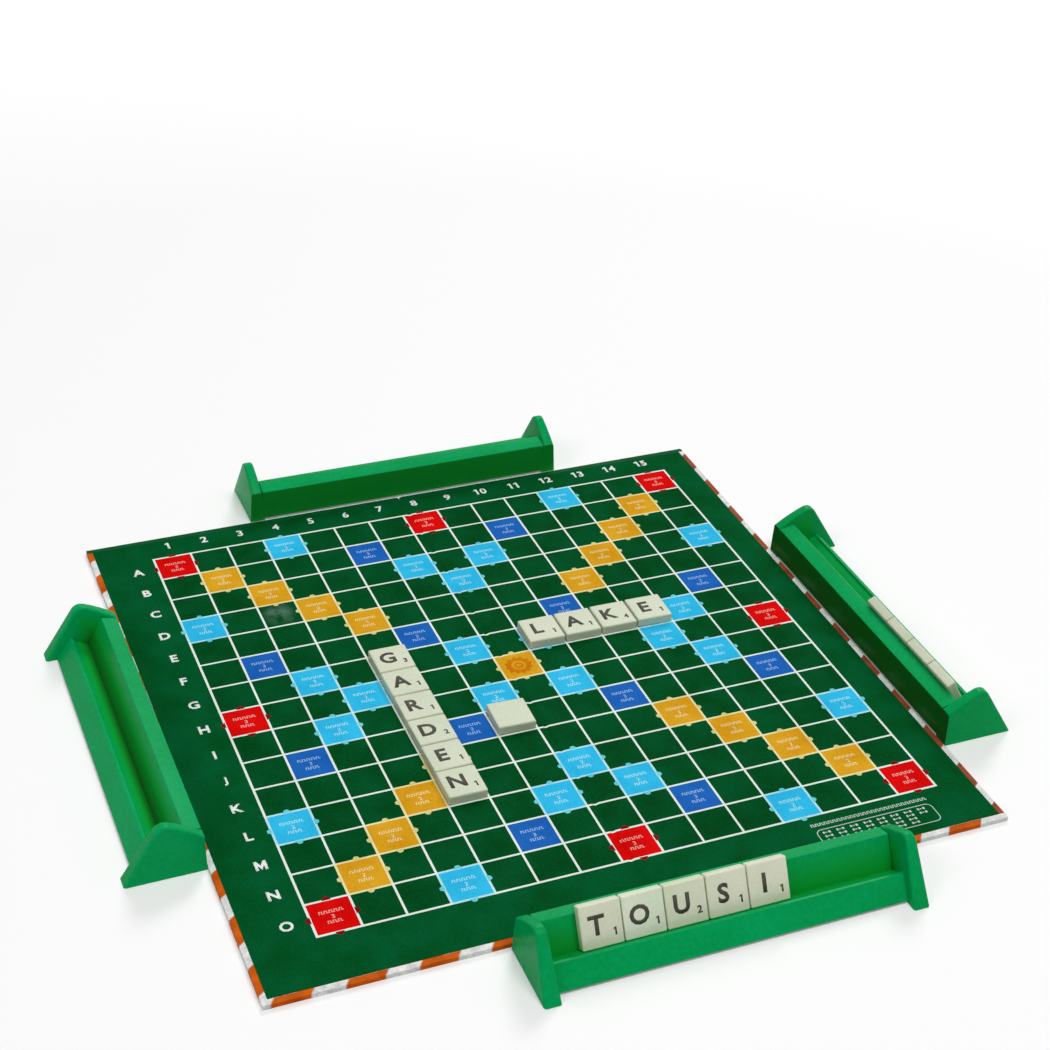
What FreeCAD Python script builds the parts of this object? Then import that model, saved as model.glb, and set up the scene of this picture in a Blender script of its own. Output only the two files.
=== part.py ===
import FreeCAD, Part
import math
import os

from FreeCAD import Vector

# Word game board in play: a folding board, four tile racks around it and letter tiles.
# Millimetres, +Z up. The origin is the middle of the board's underside, on the table.
# X runs across the fold, Y along it. The front rack stands on the -Y side.

# Folding board: two greyboard halves wrapped in cover paper, faced with a printed sheet
board_width = 352.0
board_depth = 350.0
core_thickness = 2.0
cover_paper = 0.2
print_paper = 0.2
flap_width = 15.0          # cover paper turned in over the rim
print_rim_x = 2.8          # bare rim at the ends of the printed sheet
print_rim_y = 3.2          # bare rim at its front and far sides
fold_gap = 0.6             # between the two halves
print_gap = 0.3            # between the two printed sheets at the fold line
crease_width = 1.6         # pressed down each side of the fold, where the print bends
crease_depth = 0.5

# Printed grid, a little off the board's middle
square = 20.0
grid_squares = 15
grid_shift_x = 5.9
grid_shift_y = 5.3

# Letter tiles
tile_width = 19.0
tile_height = 19.4
tile_thickness = 4.8
tile_edge_radius = 0.8
column_number = 5          # the upright word, in this column
column_rows = (9, 8, 7, 6, 5, 4)
column_turns = (-0.5, 0.4, -0.3, 0.2, 0.5, -0.4)
row_number = 9             # the level word, in this row counted from the front
row_columns = (9, 10, 11, 12)
row_turns = (-1.2, -0.8, -1.0, -1.4)
blank_column = 7
blank_row = 6
blank_turn = -2.0

# Tile rack: a moulded shell between two end plates that stand on the table
rack_length = 181.0
rack_wall = 1.6
plate_depth = 36.8
plate_height = 27.0
plate_base = 8.0           # thickness at the table
plate_outer_lean = 1.5     # how far the outer face leans in over the height
plate_inner_lean = 1.5
plate_edge_radius = 1.2
peak_radius = 5.0
peak_start_angle = 115.0   # where the roof runs into the peak, from level
roof_bulge = 0.5
front_angle = 31.7         # front slope from upright
back_height = 17.6
back_lean = 0.2
shell_clearance = 1.3      # between the shell's lower edges and the table
shell_bite = 1.0           # how far the shell runs into the plate's wall
crest_out = 8.0
crest_height = 20.0
slope_angle = 27.0         # tile slope from upright
valley_height = 5.6
ledge_depth = 7.9
lip_height = 10.6
wall_foot = 32.4           # where the front wall's slope would meet the table
wall_angle = 38.0          # front wall from upright
shell_edge_radius = 0.6

# Racks around the board: gap to the board's edge, and middle along that edge
rack_gap = {"front": 0.9, "right": 1.6, "back": 3.7, "left": 0.65}
rack_middle = {"front": 21.5, "right": -27.6, "back": 6.0, "left": 3.5}
rack_turn = {"front": 180.0, "right": -90.0, "back": 0.0, "left": 90.3}

# Tiles on the racks: how many, and the room left of the first one as its player sees it
rack_tile_space = 0.5      # between neighbours
rack_tile_count = {"front": 5, "right": 4}
rack_tile_inset = {"front": 15.9, "right": 6.85}
seat_clearance = 0.2       # between a tile and the slope and ledge that hold it

z_axis = Vector(0, 0, 1)
x_axis = Vector(1, 0, 0)
centre = Vector(0, 0, 0)
core_top = cover_paper + core_thickness
board_top = core_top + print_paper
grid_left = grid_shift_x - square * grid_squares / 2
grid_front = grid_shift_y - square * grid_squares / 2


def save(shape, node):
    shape.exportStep("parts/" + node + ".step")


def meet(line_a, line_b):
    # Crossing of two lines, each given by two (out, up) points
    (ax, ay), (bx, by) = line_a
    (cx, cy), (dx, dy) = line_b
    along = ((cx - ax) * (dy - cy) - (cy - ay) * (dx - cx)) / (
        (bx - ax) * (dy - cy) - (by - ay) * (dx - cx))
    return ax + along * (bx - ax), ay + along * (by - ay)


def shifted(line, distance):
    # The same line moved to its right-hand side
    (ax, ay), (bx, by) = line
    length = math.hypot(bx - ax, by - ay)
    move_out = distance * (by - ay) / length
    move_up = -distance * (bx - ax) / length
    return (ax + move_out, ay + move_up), (bx + move_out, by + move_up)


def prism_along_x(points, start, length):
    outline = [Vector(start, out, up) for out, up in points]
    face = Part.Face(Part.makePolygon(outline + outline[:1]))
    return face.extrude(Vector(length, 0, 0))


def prism_along_y(points, half_length):
    outline = [Vector(across, -half_length, up) for across, up in points]
    face = Part.Face(Part.makePolygon(outline + outline[:1]))
    return face.extrude(Vector(0, 2 * half_length, 0))


# ---- board ----

def half_slab(outer_x, half_depth, low, high):
    size_x = outer_x - fold_gap / 2
    corner = Vector(fold_gap / 2, -half_depth, low)
    return Part.makeBox(size_x, 2 * half_depth, high - low, corner)


def crease_height(across):
    # Level of the core's top beside the fold
    pressed = max(0.0, 1 - across / crease_width)
    return core_top - crease_depth * pressed


def board_half():
    # Core, cover and print of the half on the +X side
    half_width = board_width / 2
    half_depth = board_depth / 2
    core = half_slab(half_width - cover_paper, half_depth - cover_paper, cover_paper, core_top)
    flap_seat = half_slab(half_width, half_depth, core_top - cover_paper, core_top)
    flap_opening = half_slab(half_width - flap_width, half_depth - flap_width, 0, core_top)
    core = core.cut(flap_seat.cut(flap_opening))
    cover = half_slab(half_width, half_depth, 0, core_top).cut(core)
    crease_points = [(0, core_top + print_paper), (crease_width, core_top + print_paper),
                     (crease_width, core_top), (0, crease_height(0))]
    crease = prism_along_y(crease_points, half_depth)
    print_inner = print_gap / 2
    print_outer = half_width - print_rim_x
    under = [(print_inner, crease_height(print_inner)), (crease_width, core_top),
             (print_outer, core_top)]
    over = [(across, up + print_paper) for across, up in reversed(under)]
    sheet = prism_along_y(under + over, half_depth - print_rim_y)
    return {"core_board": core.cut(crease), "cover_sheet": cover.cut(crease),
            "print_sheet": sheet}


def make_board():
    for piece, shape in board_half().items():
        save(shape, "right_" + piece)
        save(shape.mirror(centre, x_axis), "left_" + piece)


# ---- rack ----

def front_line(foot, angle):
    # Front slope from the table up, leaning back by the angle
    lean = math.tan(math.radians(angle))
    return (foot - plate_height * lean, plate_height), (foot, 0.0)


def level_line(height):
    return (0.0, height), (1.0, height)


def plate_outline(base):
    # Side view of an end plate, with its lower edge at the height base
    angle = math.radians(front_angle)
    front_slope = front_line(plate_depth, front_angle)
    peak_up = plate_height - peak_radius
    tangent_up = peak_up + peak_radius * math.sin(angle)
    tangent_out = meet(front_slope, level_line(tangent_up))[0]
    peak_out = tangent_out - peak_radius * math.cos(angle)

    def on_peak(degrees):
        turn = math.radians(degrees)
        return Vector(0, peak_out + peak_radius * math.cos(turn),
                      peak_up + peak_radius * math.sin(turn))

    back_top = Vector(0, back_lean, back_height)
    roof_end = on_peak(peak_start_angle)
    chord = roof_end - back_top
    roof_middle = back_top + chord * 0.5 + Vector(0, -chord.z, chord.y).normalize() * roof_bulge
    front_foot = Vector(0, meet(front_slope, level_line(base))[0], base)
    back_foot = Vector(0, back_lean * base / back_height, base)
    edges = [
        Part.LineSegment(back_foot, back_top),
        Part.Arc(back_top, roof_middle, roof_end),
        Part.Arc(roof_end, on_peak((peak_start_angle + front_angle) / 2), on_peak(front_angle)),
        Part.LineSegment(on_peak(front_angle), front_foot),
        Part.LineSegment(front_foot, back_foot),
    ]
    return Part.Face(Part.Wire([edge.toShape() for edge in edges]))


def plate_taper(base):
    # View of an end plate from the front, wider at the table
    top = plate_height + rack_wall

    def side(height):
        share = height / plate_height
        return plate_outer_lean * share, plate_base - plate_inner_lean * share

    corners = [(side(base)[0], base), (side(base)[1], base), (side(top)[1], top), (side(top)[0], top)]
    outline = [Vector(along, 0, up) for along, up in corners]
    return Part.Face(Part.makePolygon(outline + outline[:1]))


def plate_block(base, inset):
    side_view = plate_outline(base)
    front_view = plate_taper(base)
    if inset:
        side_view = side_view.makeOffset2D(-inset)
        front_view = front_view.makeOffset2D(-inset)
    block = side_view.extrude(Vector(plate_base, 0, 0))
    return block.common(front_view.extrude(Vector(0, plate_depth + back_lean, 0)))


def end_plate():
    outside = plate_block(0.0, 0.0)
    rounded = [edge for edge in outside.Edges
               if edge.BoundBox.ZMax > back_height / 2 and edge.BoundBox.YLength > rack_wall / 2]
    outside = outside.makeFillet(plate_edge_radius, rounded)
    hollow = plate_block(-2 * rack_wall, rack_wall)
    plate = outside.cut(hollow)
    plate.translate(Vector(-rack_length / 2, 0, 0))
    return plate


def valley():
    # Corner between the tile slope and the ledge
    lean = math.tan(math.radians(slope_angle))
    return crest_out + (crest_height - valley_height) * lean, valley_height


def shell_outline():
    angle = math.radians(slope_angle)
    valley_out, valley_up = valley()
    ledge_end = (valley_out + ledge_depth * math.cos(angle), valley_up + ledge_depth * math.sin(angle))
    wall_line = front_line(wall_foot, wall_angle)
    back_foot = (back_lean * shell_clearance / back_height, shell_clearance)
    skin = [back_foot, (back_lean, back_height), (crest_out, crest_height), valley(), ledge_end,
            (ledge_end[0], lip_height), meet(wall_line, level_line(lip_height)),
            meet(wall_line, level_line(shell_clearance))]
    runs = [shifted(line, rack_wall) for line in zip(skin[:4], skin[1:5])]
    runs.append(shifted(wall_line, rack_wall))
    runs = [level_line(shell_clearance)] + runs + [level_line(shell_clearance)]
    inside = [meet(first, second) for first, second in zip(runs, runs[1:])]
    return skin, skin + inside[::-1]


def rack_shell():
    skin, outline = shell_outline()
    start = plate_base - rack_wall + shell_bite - rack_length / 2
    shell = prism_along_x(outline, start, -2 * start)
    rounded = []
    for corner in (skin[1], skin[2], skin[5], skin[6]):
        for edge in shell.Edges:
            middle = edge.BoundBox.Center
            if edge.BoundBox.XLength > rack_length / 2 and \
                    math.hypot(middle.y - corner[0], middle.z - corner[1]) < shell_edge_radius / 2:
                rounded.append(edge)
    return shell.makeFillet(shell_edge_radius, rounded)


def stand_at(shape, side):
    # Turns a shape that faces +Y outwards on one side of the board
    placed = shape.copy()
    placed.rotate(centre, z_axis, rack_turn[side])
    half = board_width / 2 if side in ("left", "right") else board_depth / 2
    outward = half + rack_gap[side]
    moves = {
        "front": Vector(rack_middle[side], -outward, 0),
        "right": Vector(outward, rack_middle[side], 0),
        "back": Vector(rack_middle[side], outward, 0),
        "left": Vector(-outward, rack_middle[side], 0),
    }
    placed.translate(moves[side])
    return placed


def make_racks():
    plate = end_plate()
    other_plate = plate.mirror(centre, x_axis)
    rack = rack_shell().fuse([plate, other_plate]).removeSplitter()
    for side in rack_turn:
        save(stand_at(rack, side), "rack_" + side)


# ---- tiles ----

def flat_tile():
    # Lying face up, centred, letter's top towards +Y
    corner = Vector(-tile_width / 2, -tile_height / 2, 0)
    block = Part.makeBox(tile_width, tile_height, tile_thickness, corner)
    return block.makeFillet(tile_edge_radius, block.Edges)


def tile_on_square(column, row, turn):
    # Column and row count from 1 at the front left corner of the grid
    tile = flat_tile()
    tile.rotate(centre, z_axis, turn)
    tile.translate(Vector(grid_left + (column - 0.5) * square,
                          grid_front + (row - 0.5) * square, board_top))
    return tile


def tile_on_slope(along):
    # Leaning back on the slope of a rack that faces +Y
    tile = flat_tile()
    tile.rotate(centre, z_axis, 180)
    tile.rotate(centre, x_axis, slope_angle - 90)
    angle = math.radians(slope_angle)
    up_slope = Vector(0, -math.sin(angle), math.cos(angle))
    outward = Vector(0, math.cos(angle), math.sin(angle))
    seat = Vector(along, *valley()) + (up_slope + outward) * seat_clearance
    tile.translate(seat + up_slope * (tile_height / 2))
    return tile


def make_tiles():
    for number, (row, turn) in enumerate(zip(column_rows, column_turns), 1):
        save(tile_on_square(column_number, row, turn), "column_tile_%d" % number)
    for number, (column, turn) in enumerate(zip(row_columns, row_turns), 1):
        save(tile_on_square(column, row_number, turn), "row_tile_%d" % number)
    save(tile_on_square(blank_column, blank_row, blank_turn), "blank_tile")
    for side, count in rack_tile_count.items():
        # Counted from the left as its player sees the rack
        first = rack_length / 2 - plate_base - rack_tile_inset[side] - tile_width / 2
        for number in range(count):
            along = first - number * (tile_width + rack_tile_space)
            tile = stand_at(tile_on_slope(along), side)
            save(tile, "%s_rack_tile_%d" % (side, number + 1))


make_board()
make_racks()
make_tiles()
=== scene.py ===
import math

import bmesh
import bpy
from mathutils import Matrix, Vector


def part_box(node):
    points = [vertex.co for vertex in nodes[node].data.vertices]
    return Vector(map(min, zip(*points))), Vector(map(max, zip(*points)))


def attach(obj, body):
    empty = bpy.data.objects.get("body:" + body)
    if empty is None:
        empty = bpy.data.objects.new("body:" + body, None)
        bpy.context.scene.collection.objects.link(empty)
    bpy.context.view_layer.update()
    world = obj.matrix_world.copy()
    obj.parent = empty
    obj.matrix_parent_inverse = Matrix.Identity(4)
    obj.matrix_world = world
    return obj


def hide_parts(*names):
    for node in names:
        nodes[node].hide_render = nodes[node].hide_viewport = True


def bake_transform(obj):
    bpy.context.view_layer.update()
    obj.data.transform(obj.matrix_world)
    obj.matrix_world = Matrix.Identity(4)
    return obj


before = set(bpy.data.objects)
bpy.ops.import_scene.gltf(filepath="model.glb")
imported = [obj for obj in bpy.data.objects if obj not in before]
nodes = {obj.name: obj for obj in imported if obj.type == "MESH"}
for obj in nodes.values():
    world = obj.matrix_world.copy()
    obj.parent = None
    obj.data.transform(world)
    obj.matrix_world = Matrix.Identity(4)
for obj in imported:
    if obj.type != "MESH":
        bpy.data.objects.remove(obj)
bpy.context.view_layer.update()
print("frame loaded,", len(nodes), "nodes")


# selecting and shaping

def selectOnly(*pieces):
    bpy.ops.object.select_all(action="DESELECT")
    for piece in pieces:
        piece.select_set(True)
    bpy.context.view_layer.objects.active = pieces[0]


def settle(piece):  # puts the object's place, turn and size into its mesh
    selectOnly(piece)
    bpy.ops.object.transform_apply(location=True, rotation=True, scale=True)


def pickVertices(piece, test):  # in edit mode, by place
    bpy.ops.mesh.select_mode(type="VERT")
    mesh = bmesh.from_edit_mesh(piece.data)
    for vertex in mesh.verts:
        vertex.select_set(test(vertex.co))
    mesh.select_flush_mode()
    bmesh.update_edit_mesh(piece.data)


def cutAt(place, direction):  # a straight cut through the whole mesh
    bpy.ops.mesh.select_all(action="SELECT")
    bpy.ops.mesh.bisect(plane_co=place, plane_no=direction)


def applyModifiers(piece):
    selectOnly(piece)
    for modifier in list(piece.modifiers):
        bpy.ops.object.modifier_apply(modifier=modifier.name)


def joinAll(name, pieces):
    selectOnly(*pieces)
    bpy.ops.object.join()
    joined = bpy.context.view_layer.objects.active
    joined.name = joined.data.name = name
    return joined


def copyTo(piece, matrix):  # a copy with its own mesh, moved in its mesh
    twin = bpy.data.objects.new(piece.name, piece.data.copy())
    bpy.context.scene.collection.objects.link(twin)
    twin.data.transform(matrix)
    return twin


# materials

def noiseIn(tree, place, scale, detail):
    texture = tree.nodes.new("ShaderNodeTexNoise")
    texture.inputs["Scale"].default_value = scale
    texture.inputs["Detail"].default_value = detail
    tree.links.new(place, texture.inputs["Vector"])
    return texture.outputs["Fac"]


def sumOf(tree, operation, *values):
    maths = tree.nodes.new("ShaderNodeMath")
    maths.operation = operation
    for number, value in enumerate(values):
        if isinstance(value, (int, float)):
            maths.inputs[number].default_value = value
        else:
            tree.links.new(value, maths.inputs[number])
    return maths.outputs[0]


def rampOf(tree, factor, stops):
    stops = list(stops)
    ramp = tree.nodes.new("ShaderNodeValToRGB")
    elements = ramp.color_ramp.elements
    while len(elements) < len(stops):
        elements.new(0.5)
    for element, (position, colour) in zip(elements, stops):
        element.position = position
        element.color = (*colour, 1)
    tree.links.new(factor, ramp.inputs["Fac"])
    return ramp.outputs["Color"]


def mixOf(tree, factor, first, second):
    mix = tree.nodes.new("ShaderNodeMix")
    mix.data_type = "RGBA"
    tree.links.new(factor, mix.inputs["Factor"])
    tree.links.new(first, mix.inputs["A"])
    tree.links.new(second, mix.inputs["B"])
    return mix.outputs["Result"]


def spreadOf(tree, value, fromRange, toRange):
    spread = tree.nodes.new("ShaderNodeMapRange")
    for end, low, high in (("From", *fromRange), ("To", *toRange)):
        spread.inputs[end + " Min"].default_value = low
        spread.inputs[end + " Max"].default_value = high
    tree.links.new(value, spread.inputs["Value"])
    return spread.outputs["Result"]


def newMaterial(name):
    material = bpy.data.materials.new(name)
    material.use_nodes = True
    tree = material.node_tree
    return material, tree, tree.nodes["Principled BSDF"]


def colourSoFar(material):  # with the material's tree and shader
    tree = material.node_tree
    shader = tree.nodes["Principled BSDF"]
    return tree, shader, shader.inputs["Base Color"].links[0].from_socket


mixture = {  # how every finish is mixed of broad patches and fine grain
    "patchShare": 0.6,
    "grainShare": 0.4,
    "patchDetail": 3,
    "grainDetail": 2,
    "toneRange": (0.36, 0.64),
    "roughRange": (0.3, 0.7),
    "bump": 0.6,
}


def makeFinish(name, dark, light, patch, grain, rough, relief, specular):
    material, tree, shader = newMaterial(name)
    shader.inputs["Specular IOR Level"].default_value = specular
    place = tree.nodes.new("ShaderNodeTexCoord").outputs["Object"]
    patches = noiseIn(tree, place, patch, mixture["patchDetail"])
    grains = noiseIn(tree, place, grain, mixture["grainDetail"])
    both = sumOf(tree, "ADD", sumOf(tree, "MULTIPLY", patches, mixture["patchShare"]),
                 sumOf(tree, "MULTIPLY", grains, mixture["grainShare"]))
    tone = rampOf(tree, both, zip(mixture["toneRange"], (dark, light)))
    tree.links.new(tone, shader.inputs["Base Color"])
    tree.links.new(spreadOf(tree, patches, mixture["roughRange"], rough), shader.inputs["Roughness"])
    bump = tree.nodes.new("ShaderNodeBump")
    bump.inputs["Strength"].default_value = mixture["bump"]
    bump.inputs["Distance"].default_value = relief
    tree.links.new(grains, bump.inputs["Height"])
    tree.links.new(bump.outputs["Normal"], shader.inputs["Normal"])
    return material


inks = {  # darkest and lightest tone of each printed colour
    "fieldGreen": ((0.0010, 0.058, 0.0095), (0.0020, 0.090, 0.025)),
    "marginGreen": ((0.0010, 0.072, 0.0120), (0.0020, 0.104, 0.032)),
    "lineWhite": ((0.74, 0.82, 0.76), (0.86, 0.92, 0.87)),
    "linePaleCyan": ((0.42, 0.72, 0.80), (0.58, 0.84, 0.90)),
    "linePaleYellow": ((0.78, 0.70, 0.36), (0.90, 0.84, 0.50)),
    "squareLightBlue": ((0.022, 0.45, 0.76), (0.040, 0.56, 0.90)),
    "squareDarkBlue": ((0.011, 0.106, 0.43), (0.018, 0.145, 0.53)),
    "squareOrange": ((0.64, 0.30, 0.007), (0.77, 0.41, 0.022)),
    "squareRed": ((0.60, 0.0025, 0.002), (0.80, 0.0055, 0.005)),
    "markYellow": ((0.62, 0.58, 0.22), (0.76, 0.70, 0.32)),
    "markCyan": ((0.10, 0.56, 0.66), (0.20, 0.68, 0.76)),
    "markRed": ((0.20, 0.003, 0.005), (0.28, 0.005, 0.008)),
    "wordCyan": ((0.36, 0.74, 0.86), (0.48, 0.82, 0.92)),
    "wordBlue": ((0.26, 0.44, 0.80), (0.36, 0.54, 0.88)),
    "wordYellow": ((0.86, 0.66, 0.30), (0.92, 0.76, 0.40)),
    "wordPink": ((0.84, 0.34, 0.30), (0.92, 0.46, 0.40)),
    "smallWhite": ((0.50, 0.62, 0.54), (0.60, 0.72, 0.64)),
    "wheelOrange": ((0.57, 0.175, 0.004), (0.67, 0.235, 0.006)),
    "numberWhite": ((0.80, 0.84, 0.82), (0.92, 0.94, 0.92)),
}
tilePlastics = {  # darkest and lightest tone: the tiles differ a little
    "tilePlastic": ((0.57, 0.64, 0.465), (0.70, 0.715, 0.56)),
    "tilePlasticLight": ((0.66, 0.73, 0.52), (0.79, 0.80, 0.63)),
    "tilePlasticPale": ((0.69, 0.79, 0.59), (0.83, 0.88, 0.71)),
}
otherTones = {
    "greyboard": ((0.30, 0.28, 0.24), (0.46, 0.43, 0.38)),
    "rackPlastic": ((0.0008, 0.315, 0.074), (0.0014, 0.390, 0.118)),
    "tileInk": ((0.060, 0.056, 0.040), (0.11, 0.10, 0.08)),
    "rimPaper": ((0.58, 0.60, 0.59), (0.90, 0.90, 0.88)),
}
surfaces = {  # patches and grains to the metre, relief in metres
    "ink": {"patch": 55, "grain": 900, "rough": (0.34, 0.48), "relief": 0.00002, "specular": 0.001},
    "greyboard": {"patch": 120, "grain": 1500, "rough": (0.8, 0.95), "relief": 0.0001, "specular": 0.2},
    "rackPlastic": {"patch": 22, "grain": 500, "rough": (0.20, 0.30), "relief": 0.00002, "specular": 0.035},
    "tilePlastic": {"patch": 30, "grain": 700, "rough": (0.36, 0.48), "relief": 0.00002, "specular": 0.2},
    "tileInk": {"patch": 200, "grain": 1500, "rough": (0.5, 0.65), "relief": 0.00001, "specular": 0.1},
    "rimPaper": {"patch": 260, "grain": 900, "rough": (0.35, 0.5), "relief": 0.00003, "specular": 0.02},
}
finish = {name: makeFinish(name, *tones, **surfaces["ink"]) for name, tones in inks.items()}
for name, tones in tilePlastics.items():
    finish[name] = makeFinish(name, *tones, **surfaces["tilePlastic"])
for name, tones in otherTones.items():
    finish[name] = makeFinish(name, *tones, **surfaces[name])

black, white = (0, 0, 0), (1, 1, 1)
paintedShadeTones = {  # painted shade of the rack plastic, where the rack's own shade attribute is partly and fully up: yellower, then darker
    "partly": 0.4,
    "partlyUp": (0.0030, 0.350, 0.038),
    "fullyUp": (0.0090, 0.075, 0.006),
}


def paintRackShade(material):  # painted shade: yellower, then darker, where the attribute rises
    tree, shader, plain = colourSoFar(material)
    paintedShade = tree.nodes.new("ShaderNodeAttribute")
    paintedShade.attribute_name = "paintedShade"
    value, partly = paintedShade.outputs["Fac"], paintedShadeTones["partly"]
    share = rampOf(tree, value, [(0.0, black), (partly, white)])
    shadedTone = rampOf(tree, value, [(partly, paintedShadeTones["partlyUp"]), (1.0, paintedShadeTones["fullyUp"])])
    tree.links.new(mixOf(tree, share, plain, shadedTone), shader.inputs["Base Color"])


# painted shade in the rack plastic's channel and on its wall towards the board
paintRackShade(finish["rackPlastic"])
scuff = {
    "middle": (-0.0950, 0.0858),
    "reach": (0.0090, 0.0112),
    "patch": 130,
    "detail": 2,
    "streaks": (0.30, 0.72),
    "tone": (0.16, 0.28, 0.23),
    "lighter": 1.1,
    "strength": 1.3,
}


def addScuff(material):  # a faint worn cloud in one place of the print
    tree, shader, plain = colourSoFar(material)
    place = tree.nodes.new("ShaderNodeTexCoord").outputs["Object"]
    mapping = tree.nodes.new("ShaderNodeMapping")
    mapping.inputs["Scale"].default_value = (1 / scuff["reach"][0], 1 / scuff["reach"][1], 1)
    mapping.inputs["Location"].default_value = (-scuff["middle"][0] / scuff["reach"][0],
                                                -scuff["middle"][1] / scuff["reach"][1], 0)
    oval = tree.nodes.new("ShaderNodeTexGradient")
    oval.gradient_type = "SPHERICAL"
    tree.links.new(place, mapping.inputs["Vector"])
    tree.links.new(mapping.outputs["Vector"], oval.inputs["Vector"])
    cloud = noiseIn(tree, place, scuff["patch"], scuff["detail"])
    streaks = rampOf(tree, cloud, zip(scuff["streaks"], (black, white)))
    worn = sumOf(tree, "MULTIPLY", oval.outputs["Fac"], streaks)
    lighter = tuple(scuff["lighter"] * part for part in scuff["tone"])
    tone = rampOf(tree, worn, [(0.0, scuff["tone"]), (1.0, lighter)])
    share = sumOf(tree, "MULTIPLY", worn, scuff["strength"])
    tree.links.new(mixOf(tree, share, plain, tone), shader.inputs["Base Color"])


addScuff(finish["fieldGreen"])
print("materials made")


# the printed sheet: one paper over both halves, bent at the fold

sheetLeft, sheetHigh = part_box("left_print_sheet")[0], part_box("right_print_sheet")[1]
sheet = {
    "thickness": 0.0002,
    "square": 0.020,
    "count": 15,
    "gridLeft": -0.1441,
    "gridFront": -0.1447,
    "line": 0.0011,
    "border": 0.0006,
    "foldHalf": 0.0016,
    "foldDrop": 0.0005,
    "inkThickness": 0.00004,
    "above": 0.001,  # height that a mark is laid down from
    "near": 0.00001,
    "quarter": (  # the far left quarter of the grid, with the middle row and column
        "R..L...R",
        ".O...D..",
        "..O...L.",
        "L..O...L",
        "....O...",
        ".D...D..",
        "..L...L.",
        "R..L...C",
    ),
}
squareInk = {".": "fieldGreen", "R": "squareRed", "O": "squareOrange", "C": "squareOrange",
             "D": "squareDarkBlue", "L": "squareLightBlue"}
sheetInks = ["marginGreen", "lineWhite", "linePaleCyan", "linePaleYellow", "fieldGreen", "squareLightBlue",
             "squareDarkBlue", "squareOrange", "squareRed"]
foldLines = (-sheet["foldHalf"], -sheet["foldHalf"] / 2, 0.0, sheet["foldHalf"] / 2, sheet["foldHalf"])


def kindOf(column, row):  # row 0 is at the far side
    last = sheet["count"] - 1
    if not (0 <= column <= last and 0 <= row <= last):
        return ""
    return sheet["quarter"][min(row, last - row)][min(column, last - column)]


def squareMiddle(column, row):
    far = sheet["gridFront"] + sheet["count"] * sheet["square"]
    return (sheet["gridLeft"] + (column + 0.5) * sheet["square"], far - (row + 0.5) * sheet["square"])


def inkAt(x, y):
    across = (x - sheet["gridLeft"]) / sheet["square"]
    along = sheet["count"] - (y - sheet["gridFront"]) / sheet["square"]
    half = sheet["line"] / 2 / sheet["square"]
    edge = sheet["border"] / sheet["square"]
    if min(across, along) < -edge or max(across, along) > sheet["count"] + edge:
        return "marginGreen"
    onUpright = abs(across - round(across)) < half or across < half or across > sheet["count"] - half
    onLevel = abs(along - round(along)) < half or along < half or along > sheet["count"] - half
    column, row = math.floor(across), math.floor(along)
    if not onUpright and not onLevel:
        return squareInk[kindOf(column, row)]
    beside = ""
    if not onLevel:
        beside = kindOf(round(across) - 1, row) + kindOf(round(across), row)
    if not onUpright:
        beside = kindOf(column, round(along) - 1) + kindOf(column, round(along))
    if "L" in beside:
        return "linePaleCyan"
    return "linePaleYellow" if "O" in beside or "C" in beside else "lineWhite"


def makeSheet():
    bpy.ops.object.select_all(action="DESELECT")
    bpy.ops.mesh.primitive_plane_add(size=1)
    piece = bpy.context.active_object
    piece.name = piece.data.name = "printSheet"
    piece.scale = (sheetHigh.x - sheetLeft.x, sheetHigh.y - sheetLeft.y, 1)
    piece.location = ((sheetHigh.x + sheetLeft.x) / 2, (sheetHigh.y + sheetLeft.y) / 2, sheetHigh.z)
    settle(piece)
    half = sheet["line"] / 2
    offsets = [(-half, half)] * (sheet["count"] + 1)
    offsets[0] = (-sheet["border"], half)
    offsets[-1] = (-half, sheet["border"])
    bpy.ops.object.mode_set(mode="EDIT")
    for number, pair in enumerate(offsets):
        for offset in pair:
            step = number * sheet["square"] + offset
            cutAt((sheet["gridLeft"] + step, 0, 0), (1, 0, 0))
            cutAt((0, sheet["gridFront"] + step, 0), (0, 1, 0))
    for line in foldLines:
        cutAt((line, 0, 0), (1, 0, 0))
    for line in foldLines[1:-1]:  # press the fold in
        drop = sheet["foldDrop"] * (1 - abs(line) / sheet["foldHalf"])
        pickVertices(piece, lambda place: abs(place.x - line) < sheet["near"])
        bpy.ops.transform.translate(value=(0, 0, -drop))
    bpy.ops.object.mode_set(mode="OBJECT")
    for name in sheetInks:
        piece.data.materials.append(finish[name])
    for face in piece.data.polygons:
        face.material_index = sheetInks.index(inkAt(face.center.x, face.center.y))
    solid = piece.modifiers.new("paper", "SOLIDIFY")
    solid.thickness = sheet["thickness"]
    solid.offset = -1
    applyModifiers(piece)
    return piece


def blendOverFold(piece):
    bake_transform(piece)


printSheet = makeSheet()
print("print sheet:", len(printSheet.data.polygons), "faces")


# marks printed on the sheet: flat outlines laid on it and given the thickness of ink

layHeight = sheetHigh.z + sheet["above"]


def layOnSheet(piece, ink):
    settle(piece)
    bpy.ops.object.mode_set(mode="EDIT")
    for line in foldLines:
        cutAt((line, 0, 0), (1, 0, 0))
    bpy.ops.object.mode_set(mode="OBJECT")
    piece.data.materials.clear()
    piece.data.materials.append(finish[ink])
    wrap = piece.modifiers.new("lay", "SHRINKWRAP")
    wrap.target = printSheet
    wrap.wrap_method = "PROJECT"
    wrap.use_project_z = True
    wrap.use_negative_direction = True
    wrap.use_positive_direction = False
    solid = piece.modifiers.new("ink", "SOLIDIFY")
    solid.thickness = sheet["inkThickness"]
    solid.offset = 1
    applyModifiers(piece)
    blendOverFold(piece)


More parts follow.
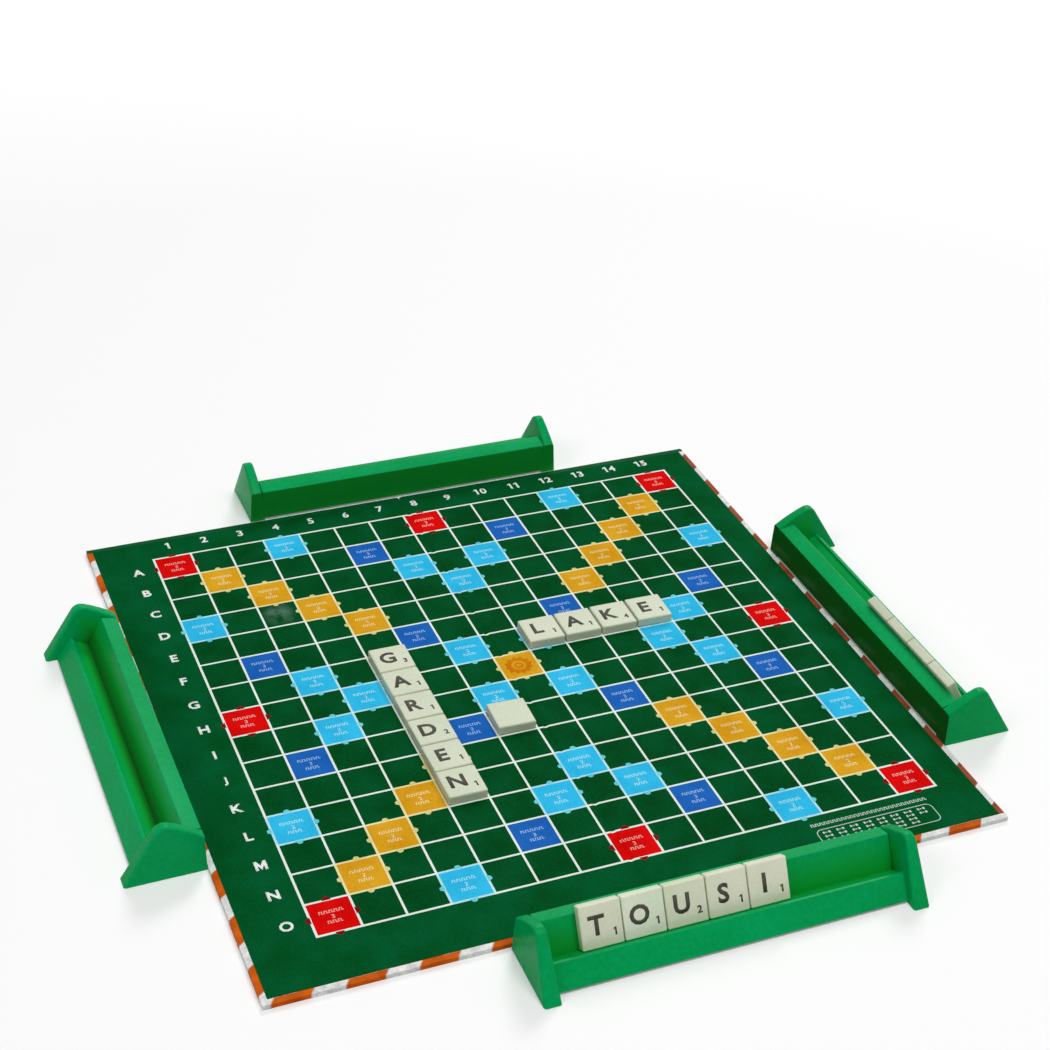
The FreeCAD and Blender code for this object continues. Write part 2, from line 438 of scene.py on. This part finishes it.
glyphs = {  # in the font's own unit
    "top": 0.682,
    "bar": 0.098,
    "flagThick": 0.15,
    "flagOut": 0.14,
    "flagDrop": 0.10,
    "mThick": 0.36,
    "mInside": 0.36,
    "near": 0.001,
    "curveSteps": 3,
}


def drawOut(piece, test, *steps):  # draws the picked edge out along each step in turn
    pickVertices(piece, test)
    for step in steps:
        bpy.ops.mesh.extrude_edges_move(TRANSFORM_OT_translate={"value": step})


def flagOnes(text, body, bold):  # the font's 1 is a bare bar: it gets a slanted flag
    width, cut = glyphs["bar"] + 2 * bold, glyphs["top"] + bold - glyphs["flagThick"]
    across = [vertex.co.x for vertex in text.data.vertices]
    lefts = [min(across)] + ([max(across) - width] if body[1:] == "1" else [])
    bpy.ops.object.mode_set(mode="EDIT")
    cutAt((0, cut, 0), (0, 1, 0))
    for left in lefts:
        drawOut(text, lambda place: abs(place.x - left) < glyphs["near"] and place.y > cut - glyphs["near"],
                (-glyphs["flagOut"], -glyphs["flagDrop"], 0))
    bpy.ops.object.mode_set(mode="OBJECT")


def drawM(text, bold):  # from an I: a stroke down and up again, then the second upright
    width, cut = glyphs["bar"] + 2 * bold, glyphs["top"] + bold - glyphs["mThick"]
    lean, fall = glyphs["mInside"] / 2, glyphs["top"] + 2 * bold - glyphs["mThick"]
    bpy.ops.object.mode_set(mode="EDIT")
    cutAt((0, cut, 0), (0, 1, 0))
    drawOut(text, lambda place: place.x > width / 2 - glyphs["near"] and place.y > cut - glyphs["near"],
            (lean, -fall, 0), (lean, fall, 0), (width, 0, 0))
    second = width / 2 + 2 * lean
    drawOut(text, lambda place: place.x > second - glyphs["near"] and place.y < cut + glyphs["near"],
            (0, -fall, 0))
    bpy.ops.object.mode_set(mode="OBJECT")


def flatText(body, height, bold):  # a flat word of that height, its middle at the origin
    bpy.ops.object.select_all(action="DESELECT")
    bpy.ops.object.text_add()
    text = bpy.context.active_object
    text.data.body = "I" if body == "M" else body
    text.data.align_x = "CENTER"
    text.data.offset = bold
    text.data.resolution_u = glyphs["curveSteps"]
    bpy.ops.object.convert(target="MESH")
    text = bpy.context.active_object
    if body == "M":
        drawM(text, bold)
    if body.startswith("1"):
        flagOnes(text, body, bold)
    corners = [vertex.co.copy() for vertex in text.data.vertices]
    low, high = Vector(map(min, *corners)), Vector(map(max, *corners))
    middle = (low + high) / 2
    scale = height / (high.y - low.y)
    text.data.transform(Matrix.Scale(scale, 4) @ Matrix.Translation(-middle))
    return text


margins = {
    "letterX": -0.1545,
    "letterHeight": 0.0060,
    "letterBold": 0.034,
    "numberY": 0.1662,
    "numberHeight": 0.0057,
    "numberBold": 0.032,
}


def makeMargins():
    letters, numbers = [], []
    for step in range(sheet["count"]):
        x, y = squareMiddle(step, step)
        letter = flatText(chr(ord("A") + step), margins["letterHeight"], margins["letterBold"])
        letter.location = (margins["letterX"], y, layHeight)
        number = flatText(str(step + 1), margins["numberHeight"], margins["numberBold"])
        number.location = (x, margins["numberY"], layHeight)
        letters.append(letter)
        numbers.append(number)
    for piece in letters + numbers:
        settle(piece)
    layOnSheet(joinAll("rowLetters", letters), "numberWhite")
    layOnSheet(joinAll("columnNumbers", numbers), "numberWhite")


makeMargins()
print("row letters and column numbers printed")


marks = {
    "toothWidth": 0.0043,
    "toothHeight": 0.0021,
    "toothTip": 0.35,
    "toothSunk": 0.0001,  # how far a tooth reaches into its square
    "wordTop": 0.0029,
    "wordMiddle": -0.0004,
    "wordBottom": -0.0034,
    "wordHeight": 0.0018,
    "strokeWidth": 0.00042,
    "tickWidth": 0.00052,
    "strokePitch": 0.00112,
    "topStrokes": 10,
    "bottomStrokes": 5,
    "digitHeight": 0.0025,
    "digitBold": 0.03,
}


def flatBar(width, height, x=0.0, y=0.0):
    bpy.ops.object.select_all(action="DESELECT")
    bpy.ops.mesh.primitive_plane_add(size=1, location=(x, y, 0))
    bar = bpy.context.active_object
    bar.scale = (width, height, 1)
    settle(bar)
    return bar


def makeTooth():  # one blunt tooth on the upper side of a square
    middle = sheet["square"] / 2 + marks["toothHeight"] / 2
    tooth = flatBar(marks["toothWidth"], marks["toothHeight"], 0, middle - marks["toothSunk"])
    bpy.ops.object.mode_set(mode="EDIT")
    pickVertices(tooth, lambda place: place.y > middle)
    bpy.ops.transform.resize(value=(marks["toothTip"], 1, 1))
    bpy.ops.object.mode_set(mode="OBJECT")
    return tooth


def squaresOf(kinds):  # the place of each square of these kinds, a little above the sheet
    steps = range(sheet["count"])
    squares = [(column, row) for row in steps for column in steps if kindOf(column, row) in kinds]
    return [Matrix.Translation((*squareMiddle(*square), layHeight)) for square in squares]


def makeTeeth(name, ink, kinds):
    tooth = makeTooth()
    turns = [Matrix.Rotation(side * math.pi / 2, 4, "Z") for side in range(4)]
    teeth = [copyTo(tooth, place @ turn) for place in squaresOf(kinds) for turn in turns]
    bpy.data.objects.remove(tooth)
    layOnSheet(joinAll(name, teeth), ink)


def makeWordRow(count, y):  # a row of upright strokes with ticks at the top and the foot by turns
    width, height = marks["strokeWidth"], marks["wordHeight"]
    tick, pitch = marks["tickWidth"], marks["strokePitch"]
    pairs = (count + 1) // 2
    edge = height / 2 - width / 2
    bars = [flatBar(width, height), flatBar(tick, width, (width + tick) / 2, edge),
            flatBar(width, height, pitch, 0), flatBar(tick, width, pitch + (width + tick) / 2, -edge)]
    stroke = joinAll("stroke", bars)
    row = stroke.modifiers.new("row", "ARRAY")
    row.count = pairs
    row.use_relative_offset = False
    row.use_constant_offset = True
    row.constant_offset_displace = (pitch * 2, 0, 0)
    applyModifiers(stroke)
    middle = (pairs * 2 - 0.5) * pitch / 2  # the last tick reaches half a step further
    stroke.data.transform(Matrix.Translation((-middle, y, 0)))
    return stroke


def makeWords(name, ink, kinds, digit):
    top = makeWordRow(marks["topStrokes"], marks["wordTop"])
    bottom = makeWordRow(marks["bottomStrokes"], marks["wordBottom"])
    number = flatText(digit, marks["digitHeight"], marks["digitBold"])
    number.data.transform(Matrix.Translation((0, marks["wordMiddle"], 0)))
    word = joinAll("word", [top, bottom, number])
    words = [copyTo(word, place) for place in squaresOf(kinds)]
    bpy.data.objects.remove(word)
    layOnSheet(joinAll(name, words), ink)


makeTeeth("teethLightBlue", "markCyan", "L")
makeTeeth("teethOrange", "markYellow", "OC")
makeTeeth("teethRed", "markRed", "R")
makeWords("wordsLightBlue", "wordCyan", "L", "2")
makeWords("wordsDarkBlue", "wordBlue", "D", "3")
makeWords("wordsOrange", "wordYellow", "O", "2")
makeWords("wordsRed", "wordPink", "R", "3")
print("marks of the coloured squares printed")


wheel = {
    "teeth": 12,
    "toothCorners": 4,
    "radius": 0.0060,
    "toothShare": 1.17,
    "ring": 0.0021,
    "hub": 0.0023,
    "hubRing": 0.0009,
    "hubCorners": 20,
}


def flatRing(radius, thickness, corners):
    bpy.ops.object.select_all(action="DESELECT")
    bpy.ops.mesh.primitive_circle_add(vertices=corners, radius=radius, fill_type="NGON")
    bpy.ops.object.mode_set(mode="EDIT")
    bpy.ops.mesh.inset(thickness=thickness)
    bpy.ops.mesh.delete(type="FACE")
    bpy.ops.object.mode_set(mode="OBJECT")
    return bpy.context.active_object


def makeWheel():  # a small cog drawn on the middle square
    ring = flatRing(wheel["radius"], wheel["ring"], wheel["teeth"] * wheel["toothCorners"])
    step = 2 * math.pi / wheel["teeth"]
    early = step / wheel["toothCorners"] / 2
    outside = wheel["radius"] - wheel["ring"] / 2
    bpy.ops.object.mode_set(mode="EDIT")
    pickVertices(ring, lambda place: place.length > outside
                 and (math.atan2(place.y, place.x) + early) % step < step / 2)
    bpy.ops.transform.resize(value=(wheel["toothShare"],) * 3)
    bpy.ops.object.mode_set(mode="OBJECT")
    hub = flatRing(wheel["hub"], wheel["hubRing"], wheel["hubCorners"])
    cog = joinAll("middleWheel", [ring, hub])
    cog.location = (*squareMiddle(sheet["count"] // 2, sheet["count"] // 2), layHeight)
    layOnSheet(cog, "wheelOrange")


makeWheel()
print("cog printed")


scores = {
    "left": 0.0863,
    "right": 0.1465,
    "front": -0.1668,
    "back": -0.1545,
    "line": 0.0004,
    "corner": 0.003,
    "cornerSteps": 4,
    "headingY": -0.1512,
    "headingStrokes": 54,
    "rows": (4, 4, 4, 4, 4, 4, 4, 2),  # in each column
    "columnInset": 0.003,
    "endInset": 0.001,
    "rowInset": 0.0024,
    "rowPitch": 0.0025,
    # offset, width and height of each dash in a row
    "dashes": ((0.0005, 0.0009, 0.0013), (0.0018, 0.0010, 0.0005), (0.0034, 0.0011, 0.0013)),
}


def makeScores():  # a rounded frame with a heading, and columns of dashes
    width, depth = scores["right"] - scores["left"], scores["back"] - scores["front"]
    middle = ((scores["left"] + scores["right"]) / 2, (scores["front"] + scores["back"]) / 2)
    outline = flatBar(width, depth, *middle)
    bpy.ops.object.mode_set(mode="EDIT")
    bpy.ops.mesh.select_all(action="SELECT")
    bpy.ops.mesh.bevel(offset=scores["corner"], segments=scores["cornerSteps"], affect="VERTICES")
    bpy.ops.mesh.select_all(action="SELECT")
    bpy.ops.mesh.inset(thickness=scores["line"])
    bpy.ops.mesh.delete(type="FACE")
    bpy.ops.object.mode_set(mode="OBJECT")
    heading = makeWordRow(scores["headingStrokes"], scores["headingY"])
    heading.data.transform(Matrix.Translation((middle[0], 0, 0)))
    bars = [outline, heading]
    pitch = (width - scores["columnInset"] - scores["endInset"]) / len(scores["rows"])
    for column, rows in enumerate(scores["rows"]):
        for row in range(rows):
            x = scores["left"] + scores["columnInset"] + pitch * column
            y = scores["back"] - scores["rowInset"] - row * scores["rowPitch"]
            for offset, long, high in scores["dashes"]:
                bars.append(flatBar(long, high, x + offset, y))
    table = joinAll("scoreTable", bars)
    table.location.z += layHeight
    layOnSheet(table, "smallWhite")


makeScores()
print("score table printed")
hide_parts("left_print_sheet", "right_print_sheet")
blendOverFold(printSheet)


# cover paper and core of the board, kept as the frame has them

rim = {
    "frontPeriod": 0.0317,
    "frontShift": 0.3359,
    "sidePeriod": 0.0302,
    "sideShift": 0.3108,
    "share": 0.54,
    "frontSlant": 0.7,
    "sideSlant": 0.743,
    "frontRim": 0.1719,
    "topRim": 0.0021,
    "foldSide": 0.0017,
    "foldDepth": 0.0006,
    "rightRim": 0.1700,
    "soft": 0.03,
    "cloud": 120,
    "cloudDetail": 3,
    "cloudRange": (0.35, 0.65),
    "orange": ((0.47, 0.074, 0.003), (0.67, 0.124, 0.006)),
    # darker, duller orange: painted shade of the right rack on the right rim
    "shadedRightOrange": ((0.25, 0.050, 0.020), (0.37, 0.082, 0.034)),
}


def axesOf(tree):
    place = next(node for node in tree.nodes if node.type == "TEX_COORD").outputs["Object"]
    axes = tree.nodes.new("ShaderNodeSeparateXYZ")
    tree.links.new(place, axes.inputs["Vector"])
    return place, axes


def topOf(tree, axes):  # 1 on the top of the board, also down in the pressed fold
    inFold = sumOf(tree, "LESS_THAN", sumOf(tree, "ABSOLUTE", axes.outputs["X"]), rim["foldSide"])
    height = sumOf(tree, "ADD", axes.outputs["Z"], sumOf(tree, "MULTIPLY", inFold, rim["foldDepth"]))
    return sumOf(tree, "GREATER_THAN", height, rim["topRim"])


def stripe(material):  # slanted orange stripes; on top of the right rim they are darker and duller, painted shade of the right rack
    tree, shader, plain = colourSoFar(material)
    place, axes = axesOf(tree)
    onFront = sumOf(tree, "GREATER_THAN", sumOf(tree, "ABSOLUTE", axes.outputs["Y"]), rim["frontRim"])
    onSide = sumOf(tree, "SUBTRACT", 1.0, onFront)
    runs = []
    for along, across, edge, chosen in (("X", "Y", "front", onFront), ("Y", "X", "side", onSide)):
        lean = sumOf(tree, "MULTIPLY", axes.outputs[across], -rim[edge + "Slant"])
        run = sumOf(tree, "ADD", sumOf(tree, "ADD", axes.outputs[along], lean), rim[edge + "Shift"])
        runs.append(sumOf(tree, "MULTIPLY", sumOf(tree, "DIVIDE", run, rim[edge + "Period"]), chosen))
    turns = sumOf(tree, "FRACT", sumOf(tree, "ADD", *runs))
    share = rampOf(tree, turns, [(0.0, black), (rim["soft"], white), (rim["share"], white),
                                 (rim["share"] + rim["soft"], black)])
    cloud = noiseIn(tree, place, rim["cloud"], rim["cloudDetail"])
    orange = rampOf(tree, cloud, zip(rim["cloudRange"], rim["orange"]))
    shadedOrange = rampOf(tree, cloud, zip(rim["cloudRange"], rim["shadedRightOrange"]))
    # painted shade: the mask of the right rim's top, beside the right rack
    right = sumOf(tree, "MULTIPLY", sumOf(tree, "GREATER_THAN", axes.outputs["X"], rim["rightRim"]),
                  sumOf(tree, "MULTIPLY", topOf(tree, axes), onSide))
    tree.links.new(mixOf(tree, share, plain, mixOf(tree, right, orange, shadedOrange)), shader.inputs["Base Color"])


def greenFarRim(material):  # the border's green runs on over the far rim
    tree, shader, plain = colourSoFar(material)
    place, axes = axesOf(tree)
    isFar = sumOf(tree, "GREATER_THAN", axes.outputs["Y"], rim["frontRim"])
    cloud = noiseIn(tree, place, rim["cloud"], rim["cloudDetail"])
    green = rampOf(tree, cloud, zip(rim["cloudRange"], inks["marginGreen"]))
    share = sumOf(tree, "MULTIPLY", isFar, topOf(tree, axes))
    tree.links.new(mixOf(tree, share, plain, green), shader.inputs["Base Color"])


stripe(finish["rimPaper"])
greenFarRim(finish["rimPaper"])
greenFarRim(finish["greyboard"])


def paint(node, material):
    node.data.materials.clear()
    node.data.materials.append(material)


for name in ("right_cover_sheet", "left_cover_sheet"):
    paint(nodes[name], finish["rimPaper"])
for name in ("right_core_board", "left_core_board"):
    paint(nodes[name], finish["greyboard"])
print("cover paper and cores painted")


# racks and tiles: copies of the frame's nodes, closed up and shaded smooth

closing = {"merge": 0.000002, "angle": 35}


def smoothCopy(nodeName, pieceName, material):
    piece = bpy.data.objects.new(pieceName, nodes[nodeName].data.copy())
    piece.data.name = pieceName
    bpy.context.scene.collection.objects.link(piece)
    selectOnly(piece)
    if piece.data.has_custom_normals:
        bpy.ops.mesh.customdata_custom_splitnormals_clear()
    bpy.ops.object.mode_set(mode="EDIT")
    bpy.ops.mesh.select_all(action="SELECT")
    bpy.ops.mesh.remove_doubles(threshold=closing["merge"])
    bpy.ops.object.mode_set(mode="OBJECT")
    bpy.ops.object.shade_smooth_by_angle(angle=math.radians(closing["angle"]))
    paint(piece, material)
    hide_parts(nodeName)
    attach(piece, nodeName)
    return piece


racks = {  # out is measured from the wall towards the board, up from the table
    "valleyOut": 0.0153,
    "valleyUp": 0.0056,
    "reach": 0.0115,
    "flat": 0.65,
    # how dark the painted shade gets at the bottom of each rack's channel
    "deepestShade": {"front": 0.52, "right": 0.62, "back": 0.62, "left": 0.92},
    "lipOut": 0.0212,
    "backOut": 0.004,
    "facing": 0.8,
    "outward": {"front": (0, -1, 0), "right": (1, 0, 0), "back": (0, 1, 0), "left": (-1, 0, 0)},
    # how dark the painted shade gets on each rack's wall towards the board
    "backShade": {"front": 0.5, "right": 0.88, "back": 0.62, "left": 0.5},
}


def markPaintedShade(piece, side):  # painted shade, high at the bottom of the rack's channel and on the wall towards the board, where shade falls
    outward = Vector(racks["outward"][side])
    along = outward.cross((0, 0, 1))
    middle = sum(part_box("rack_" + side), Vector()) / 2
    start = min(vertex.co.dot(outward) for vertex in piece.data.vertices)
    layer = piece.data.attributes.new("paintedShade", "FLOAT", "CORNER")
    for face in piece.data.polygons:
        onBack = face.normal.dot(outward) < -racks["facing"]
        onPlate = abs(face.normal.dot(along)) > racks["facing"]
        onEnd = onPlate and face.normal.dot(along) * (face.center - middle).dot(along) > 0
        for corner in face.loop_indices:
            place = piece.data.vertices[piece.data.loops[corner].vertex_index].co
            out = place.dot(outward) - start
            away = math.hypot(out - racks["valleyOut"], racks["flat"] * (place.z - racks["valleyUp"]))
            tone = max(0.0, 1 - away / racks["reach"]) * (1.0 if onPlate else racks["deepestShade"][side])
            if onEnd or out > racks["lipOut"]:
                tone = 0.0
            elif onBack and out < racks["backOut"]:
                tone = racks["backShade"][side]
            layer.data[corner].value = tone


for side in racks["outward"]:
    rack = smoothCopy("rack_" + side, side + "Rack", finish["rackPlastic"])
    markPaintedShade(rack, side)
print("racks made")


tiles = {
    "thickness": 0.0048,
    "letterHeight": 0.0088,
    "letterBold": 0.032,
    "letterPlace": (-0.0022, 0.0004),
    "valueHeight": 0.0034,
    "valueBold": 0.036,
    "valuePlace": (0.0057, -0.0038),
    "ink": 0.00006,
    "inkOffset": 0.5,
    "slope": 27.0,
    "light": ("front_rack_tile_1", "front_rack_tile_3", "front_rack_tile_4", "front_rack_tile_5"),
    "pale": ("front_rack_tile_2",),
}
lying = {  # letter, value and turn of each tile on the board
    "column_tile_1": ("G", "3", -0.5), "column_tile_2": ("A", "1", 0.4), "column_tile_3": ("R", "1", -0.3),
    "column_tile_4": ("D", "2", 0.2), "column_tile_5": ("E", "1", 0.5), "column_tile_6": ("N", "1", -0.4),
    "row_tile_1": ("L", "1", -1.2), "row_tile_2": ("A", "1", -0.8), "row_tile_3": ("K", "4", -1.0),
    "row_tile_4": ("E", "1", -1.4), "blank_tile": ("", "", -2.0),
}
standing = {  # letter, value and rack of each tile in a rack
    "front_rack_tile_1": ("T", "1", "front"), "front_rack_tile_2": ("O", "1", "front"),
    "front_rack_tile_3": ("U", "2", "front"), "front_rack_tile_4": ("S", "1", "front"),
    "front_rack_tile_5": ("I", "1", "front"),
    "right_rack_tile_1": ("M", "3", "right"), "right_rack_tile_2": ("P", "3", "right"),
    "right_rack_tile_3": ("E", "1", "right"), "right_rack_tile_4": ("R", "1", "right"),
}
rackTurn = {"front": 0, "right": 90}


def tileFace(name):  # the middle of the tile's upper face and its turn, as one matrix
    low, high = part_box(name)
    middle = (low + high) / 2
    if name in lying:
        turn = Matrix.Rotation(math.radians(lying[name][2]), 4, "Z")
    else:
        turn = (Matrix.Rotation(math.radians(rackTurn[standing[name][2]]), 4, "Z")
                @ Matrix.Rotation(math.radians(90 - tiles["slope"]), 4, "X"))
    return Matrix.Translation(middle) @ turn @ Matrix.Translation((0, 0, tiles["thickness"] / 2))


def makeTile(name, letter, value):
    pieceName = "".join(part.capitalize() if number else part for number, part in enumerate(name.split("_")))
    plastic = "tilePlasticLight" if name in tiles["light"] else "tilePlastic"
    plastic = "tilePlasticPale" if name in tiles["pale"] else plastic
    smoothCopy(name, pieceName, finish[plastic])
    if not letter:
        return
    parts = [flatText(letter, tiles["letterHeight"], tiles["letterBold"]),
             flatText(value, tiles["valueHeight"], tiles["valueBold"])]
    for part, place in zip(parts, (tiles["letterPlace"], tiles["valuePlace"])):
        part.data.transform(Matrix.Translation((*place, 0)))
    face = joinAll(pieceName + "Letter", parts)
    solid = face.modifiers.new("ink", "SOLIDIFY")
    solid.thickness = tiles["ink"]
    solid.offset = tiles["inkOffset"]
    applyModifiers(face)
    face.data.transform(tileFace(name))
    paint(face, finish["tileInk"])
    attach(face, name)


for name, (letter, value, _) in {**lying, **standing}.items():
    makeTile(name, letter, value)
print("tiles made")


# table top, light and camera

floor = {
    "size": 16.0,
    "below": 0.0002,
    "colour": (0.88, 0.88, 0.88, 1),
    "rough": 0.7,
    "specular": 0.2,
    "glow": (0.13, 0.80),
    "glowReach": (0.6, 3.2),
}
worldStrength = 0.22
lamps = {
    "overheadLamp": {"place": (0.30, -0.95, 3.0), "energy": 47.0, "size": 1.5},
    "keyLamp": {"place": (1.5, 2.4, 2.6), "energy": 46.0, "size": 1.1},
    "fillLamp": {"place": (-2.2, -0.6, 2.2), "energy": 14.0, "size": 1.2},
}
camera = {
    "place": (-0.3153, -0.7445, 0.6049),
    "azimuth": 23.174,
    "down": 32.488,
    "roll": 2.68,
    "lens": 69.43,
    "sensor": 36.0,
    "nearest": 0.01,
}


def seenDirectly(tree):  # 1 for the camera, for mirrored views and for views through glass
    path = tree.nodes.new("ShaderNodeLightPath")
    mirrored = sumOf(tree, "MAXIMUM", path.outputs["Is Glossy Ray"], path.outputs["Is Transmission Ray"])
    return sumOf(tree, "MAXIMUM", path.outputs["Is Camera Ray"], mirrored)


def makeFloor():
    bpy.ops.object.select_all(action="DESELECT")
    bpy.ops.mesh.primitive_plane_add(size=floor["size"], location=(0, 0, -floor["below"]))
    table = bpy.context.active_object
    table.name = "tableTop"
    material, tree, shader = newMaterial("paleTable")
    shader.inputs["Base Color"].default_value = floor["colour"]
    shader.inputs["Roughness"].default_value = floor["rough"]
    shader.inputs["Specular IOR Level"].default_value = floor["specular"]
    shader.inputs["Emission Color"].default_value = (*white, 1)
    place = tree.nodes.new("ShaderNodeTexCoord").outputs["Object"]
    length = tree.nodes.new("ShaderNodeVectorMath")
    length.operation = "LENGTH"
    tree.links.new(place, length.inputs[0])
    # the glow grows outwards, where the lamps no longer reach
    glow = spreadOf(tree, length.outputs["Value"], floor["glowReach"], floor["glow"])
    strength = sumOf(tree, "MULTIPLY", seenDirectly(tree), glow)
    tree.links.new(strength, shader.inputs["Emission Strength"])
    table.data.materials.append(material)


def makeWorld():
    world = bpy.data.worlds.new("studio")
    world.use_nodes = True
    tree = world.node_tree
    tree.nodes.clear()
    soft = tree.nodes.new("ShaderNodeBackground")
    soft.inputs["Strength"].default_value = worldStrength
    seen = tree.nodes.new("ShaderNodeBackground")
    mix = tree.nodes.new("ShaderNodeMixShader")
    output = tree.nodes.new("ShaderNodeOutputWorld")
    for background in (soft, seen):
        background.inputs["Color"].default_value = (*white, 1)
    tree.links.new(seenDirectly(tree), mix.inputs["Fac"])
    tree.links.new(soft.outputs[0], mix.inputs[1])
    tree.links.new(seen.outputs[0], mix.inputs[2])
    tree.links.new(mix.outputs[0], output.inputs["Surface"])
    bpy.context.scene.world = world


def makeLamp(name, place, energy, size):
    data = bpy.data.lights.new(name, "AREA")
    data.energy = energy
    data.size = size
    lamp = bpy.data.objects.new(name, data)
    lamp.location = place
    lamp.rotation_euler = (-Vector(place)).to_track_quat("-Z", "Y").to_euler()
    bpy.context.scene.collection.objects.link(lamp)


def makeCamera():
    data = bpy.data.cameras.new("camera")
    data.lens = camera["lens"]
    data.sensor_width = camera["sensor"]
    data.clip_start = camera["nearest"]
    eye = bpy.data.objects.new("camera", data)
    bpy.context.scene.collection.objects.link(eye)
    eye.matrix_world = (Matrix.Translation(camera["place"])
                        @ Matrix.Rotation(math.radians(-camera["azimuth"]), 4, "Z")
                        @ Matrix.Rotation(math.radians(90 - camera["down"]), 4, "X")
                        @ Matrix.Rotation(math.radians(camera["roll"]), 4, "Z"))
    bpy.context.scene.camera = eye


makeFloor()
makeWorld()
for name, lamp in lamps.items():
    makeLamp(name, **lamp)
makeCamera()
bpy.context.scene.view_settings.view_transform = "Standard"
print("floor, lamps and camera placed")
